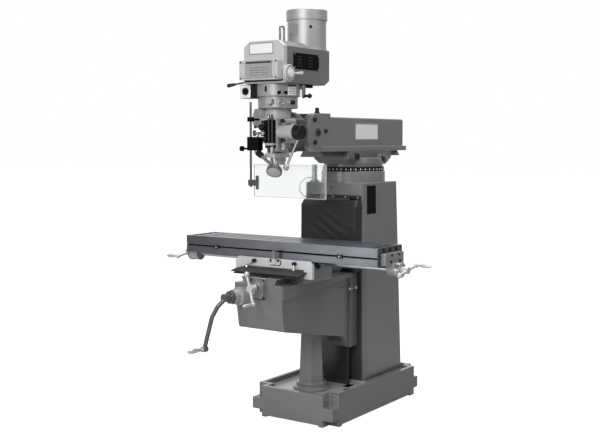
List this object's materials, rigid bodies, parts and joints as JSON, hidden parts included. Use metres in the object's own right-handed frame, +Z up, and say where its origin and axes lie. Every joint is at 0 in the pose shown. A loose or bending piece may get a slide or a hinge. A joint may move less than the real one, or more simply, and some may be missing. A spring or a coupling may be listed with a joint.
{
  "type": "knee-type turret milling machine",
  "caption": "Vertical knee mill with swivelling turret, sliding ram, tilting belt-driven head, feeding quill, and a screw-fed table on saddle and knee.",
  "frame": {"origin": "centre of the anchor bolt rectangle on the floor plane", "axes": "+Z up, +X to the right of the operator along the table, -Y towards the operator"},
  "size_m": [1.6786, 1.6416, 2.2936],
  "materials": {
    "casting_paint": "satin dark grey paint on cast iron",
    "silver_paint": "satin silver paint on aluminium casting",
    "head_iron": "satin silver paint on cast iron",
    "apron_paint": "satin light grey paint",
    "ground_steel": "ground",
    "machined_iron": "ground cast iron",
    "polished_steel": "polished",
    "black_steel": "black",
    "black_plastic": "moulded",
    "rubber": "matt",
    "clear_sheet": "clear",
    "bronze": "cast"
  },
  "bodies": {
    "frame": {"base_casting": "casting_paint", "column_casting": "casting_paint", "elevating_pedestal": "casting_paint", "way_cover": "rubber", "oil_line": "polished_steel"},
    "turret": {"turret_casting": "casting_paint", "turret_scale_ring": "black_steel"},
    "ram_pinion": {"ram_pinion_shaft": "ground_steel"},
    "ram": {"ram_casting": "casting_paint"},
    "nod_worm": {"nod_worm_shaft": "black_steel"},
    "adapter": {"ram_adapter": "casting_paint"},
    "head": {"head_casting": "head_iron", "feed_gear_case": "silver_paint", "lower_gear_case": "head_iron", "upper_gear_case": "head_iron", "belt_housing": "silver_paint", "front_cover": "silver_paint", "speed_plate_box": "silver_paint", "motor_body": "silver_paint", "motor_fan_cover": "silver_paint", "drive_belt": "rubber", "lifting_hoop": "polished_steel", "switch_box": "black_plastic", "lamp_arm": "polished_steel", "guard_clamp": "black_steel"},
    "switch": {"switch_knob": "black_plastic"},
    "motor_wheel": {"motor_pulley": "silver_paint"},
    "spindle_wheel": {"spindle_pulley": "silver_paint"},
    "quill": {"quill_sleeve": "ground_steel", "quill_collar": "black_steel"},
    "stop_nut": {"depth_stop_nut": "ground_steel"},
    "spindle_body": {"spindle": "ground_steel", "drawbar": "ground_steel"},
    "quill_feed": {"quill_feed_lever": "black_steel"},
    "dial": {"speed_dial": "silver_paint"},
    "brake": {"brake_lever": "black_steel"},
    "range_shift": {"range_lever": "black_steel"},
    "lamp": {"lamp_head": "silver_paint"},
    "guard": {"guard_bar": "ground_steel", "guard_shield": "clear_sheet"},
    "knee": {"knee_casting": "casting_paint", "knee_gib": "machined_iron", "knee_bearings": "machined_iron"},
    "knee_lock": {"knee_lock_lever": "polished_steel"},
    "lift_drive": {"elevating_shaft": "ground_steel", "elevating_crank": "polished_steel"},
    "lift_screw": {"elevating_screw": "ground_steel"},
    "cross_feed": {"cross_feed_screw": "ground_steel", "cross_feed_crank": "polished_steel"},
    "saddle": {"saddle_casting": "casting_paint", "saddle_apron": "apron_paint", "saddle_gibs": "machined_iron", "feed_nuts": "bronze", "saddle_way_mats": "rubber"},
    "table": {"table_casting": "machined_iron", "table_end_brackets": "machined_iron"},
    "table_feed": {"table_feed_screw": "ground_steel", "table_cranks": "polished_steel"},
    "lock_left": {"table_lock_lever_left": "polished_steel"},
    "lock_right": {"table_lock_lever_right": "polished_steel"}
  },
  "joints": [
    {"name": "turret_swing", "type": "hinge", "parent": "frame", "child": "turret", "pos_m": [0, 0.16, 1.393], "axis": [0, 0, 1], "continuous": true},
    {"name": "ram_slide", "type": "slide", "parent": "turret", "child": "ram", "axis": [0, -1, 0], "range_m": [-0.152, 0.152]},
    {"name": "ram_pinion_turn", "type": "hinge", "parent": "turret", "child": "ram_pinion", "pos_m": [0, 0.27, 1.4626], "axis": [1, 0, 0], "continuous": true},
    {"name": "head_nod", "type": "hinge", "parent": "ram", "child": "adapter", "pos_m": [0, -0.385, 1.6186], "axis": [1, 0, 0], "range_deg": [-45, 45]},
    {"name": "nod_worm_turn", "type": "hinge", "parent": "ram", "child": "nod_worm", "pos_m": [0.088, -0.368, 1.72], "axis": [0, 0, 1], "continuous": true},
    {"name": "head_tilt", "type": "hinge", "parent": "adapter", "child": "head", "pos_m": [0, -0.515, 1.6186], "axis": [0, 1, 0], "range_deg": [-90, 90]},
    {"name": "switch_turn", "type": "hinge", "parent": "head", "child": "switch", "pos_m": [-0.134, -0.72, 1.8361], "axis": [0, 1, 0], "range_deg": [-60, 60]},
    {"name": "quill_slide", "type": "slide", "parent": "head", "child": "quill", "axis": [0, 0, -1], "range_m": [0, 0.127]},
    {"name": "stop_nut_travel", "type": "slide", "parent": "quill", "child": "stop_nut", "axis": [0, 0, 1], "range_m": [-0.1, 0]},
    {"name": "spindle_turn", "type": "hinge", "parent": "quill", "child": "spindle_body", "pos_m": [0, -0.6153, 1.46], "axis": [0, 0, 1], "continuous": true},
    {"name": "spindle_pulley_turn", "type": "hinge", "parent": "head", "child": "spindle_wheel", "pos_m": [0, -0.6153, 1.98], "axis": [0, 0, 1], "continuous": true},
    {"name": "motor_pulley_turn", "type": "hinge", "parent": "head", "child": "motor_wheel", "pos_m": [0, -0.3393, 1.98], "axis": [0, 0, 1], "continuous": true},
    {"name": "quill_feed_turn", "type": "hinge", "parent": "head", "child": "quill_feed", "pos_m": [0, -0.6803, 1.6186], "axis": [-1, 0, 0], "range_deg": [0, 280]},
    {"name": "speed_dial_turn", "type": "hinge", "parent": "head", "child": "dial", "pos_m": [0.13, -0.7063, 1.9246], "axis": [1, 0, 0], "range_deg": [-160, 160]},
    {"name": "brake_swing", "type": "hinge", "parent": "head", "child": "brake", "pos_m": [-0.1413, -0.6583, 1.8946], "axis": [0, 0, 1], "range_deg": [-15, 15]},
    {"name": "range_shift_turn", "type": "hinge", "parent": "head", "child": "range_shift", "pos_m": [0.12, -0.5673, 1.8566], "axis": [1, 0, 0], "range_deg": [-20, 20]},
    {"name": "lamp_tilt", "type": "hinge", "parent": "head", "child": "lamp", "pos_m": [0.11, -0.7923, 1.4406], "axis": [1, 0, 0], "range_deg": [-25, 25]},
    {"name": "guard_height", "type": "slide", "parent": "head", "child": "guard", "axis": [0, 0, 1], "range_m": [-0.1, 0.02]},
    {"name": "knee_slide", "type": "slide", "parent": "frame", "child": "knee", "axis": [0, 0, -1], "range_m": [-0.231, 0.175], "deforming": ["way_cover"]},
    {"name": "knee_lock_turn", "type": "hinge", "parent": "knee", "child": "knee_lock", "pos_m": [0.165, -0.0983, 0.728], "axis": [1, 0, 0], "range_deg": [-30, 30]},
    {"name": "lift_crank_turn", "type": "hinge", "parent": "knee", "child": "lift_drive", "pos_m": [0, -0.29, 0.743], "axis": [-0.23, -0.9732, 0], "continuous": true},
    {"name": "lift_screw_turn", "type": "hinge", "parent": "knee", "child": "lift_screw", "pos_m": [0, -0.29, 0.6], "axis": [0, 0, 1], "continuous": true},
    {"name": "saddle_slide", "type": "slide", "parent": "knee", "child": "saddle", "axis": [0, 1, 0], "range_m": [-0.095, 0.205]},
    {"name": "cross_feed_turn", "type": "hinge", "parent": "knee", "child": "cross_feed", "pos_m": [0, -0.8, 0.8], "axis": [0, -1, 0], "continuous": true},
    {"name": "table_slide", "type": "slide", "parent": "saddle", "child": "table", "axis": [1, 0, 0], "range_m": [-0.38, 0.38]},
    {"name": "table_feed_turn", "type": "hinge", "parent": "table", "child": "table_feed", "pos_m": [0, -0.51, 0.9136], "axis": [1, 0, 0], "continuous": true},
    {"name": "lock_left_turn", "type": "hinge", "parent": "saddle", "child": "lock_left", "pos_m": [-0.118, -0.6653, 0.9226], "axis": [0, 1, 0], "range_deg": [0, 50]},
    {"name": "lock_right_turn", "type": "hinge", "parent": "saddle", "child": "lock_right", "pos_m": [0.148, -0.6653, 0.9226], "axis": [0, 1, 0], "range_deg": [-40, 40]}
  ],
  "couplings": [
    {"joint": "ram_pinion_turn", "follows": "ram_slide", "rad_per_m": 47.619},
    {"joint": "nod_worm_turn", "follows": "head_nod", "ratio": 40},
    {"joint": "quill_feed_turn", "follows": "quill_slide", "rad_per_m": 38.462},
    {"joint": "spindle_pulley_turn", "follows": "spindle_turn", "ratio": 1},
    {"joint": "motor_pulley_turn", "follows": "spindle_turn", "ratio": 1},
    {"joint": "lift_crank_turn", "follows": "knee_slide", "rad_per_m": 2473.7},
    {"joint": "lift_screw_turn", "follows": "knee_slide", "rad_per_m": 1236.8},
    {"joint": "cross_feed_turn", "follows": "saddle_slide", "rad_per_m": 1236.8},
    {"joint": "table_feed_turn", "follows": "table_slide", "rad_per_m": 1236.8}
  ]
}
